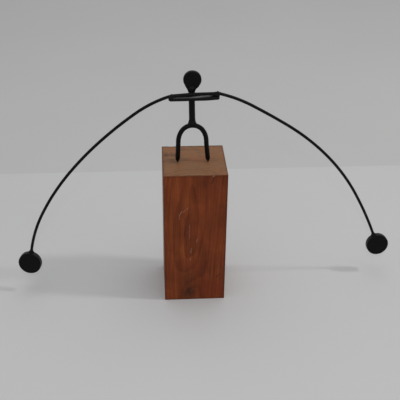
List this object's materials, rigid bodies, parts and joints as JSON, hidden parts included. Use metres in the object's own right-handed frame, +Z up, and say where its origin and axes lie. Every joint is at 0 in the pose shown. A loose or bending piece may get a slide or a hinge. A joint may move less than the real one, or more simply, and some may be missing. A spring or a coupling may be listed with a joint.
{
  "type": "balancing figure toy",
  "caption": "Black iron stick figure that rocks on pointed toes on a wooden block, carrying a long bowed rod with disc weights.",
  "frame": {"origin": "centre of the wooden block's underside, the face it rests on", "axes": "+X to the figure's left hand side as seen from the front (to the viewer's right) along the arms and the balance rod; +Y away from the figure's front; +Z up"},
  "size_m": [0.403, 0.0636, 0.2491],
  "materials": {
    "wood": "satin oiled, vertical grain, sharp sawn edges",
    "iron": "satin black over drawn steel rod",
    "weld": "satin black over rough weld beads"
  },
  "bodies": {
    "block": {"wood_block": "wood"},
    "toes": {"left_toe": "iron", "right_toe": "iron"},
    "figure": {"leg_hoop": "iron", "torso_rod": "iron", "arm_bar": "iron", "head_disc": "iron", "balance_rod": "iron", "left_weight": "iron", "right_weight": "iron", "hip_weld": "weld", "chest_weld": "weld", "head_weld": "weld", "left_hand_weld": "weld", "right_hand_weld": "weld", "left_weight_weld": "weld", "right_weight_weld": "weld"}
  },
  "joints": [
    {"name": "turn", "type": "hinge", "parent": "block", "child": "toes", "pos_m": [-0.0013, -0.0027, 0.1524], "axis": [0, 0, 1], "continuous": true},
    {"name": "rock", "type": "hinge", "parent": "toes", "child": "figure", "pos_m": [-0.0013, -0.0027, 0.1538], "axis": [1, 0, 0], "range_deg": [-30, 30]}
  ]
}
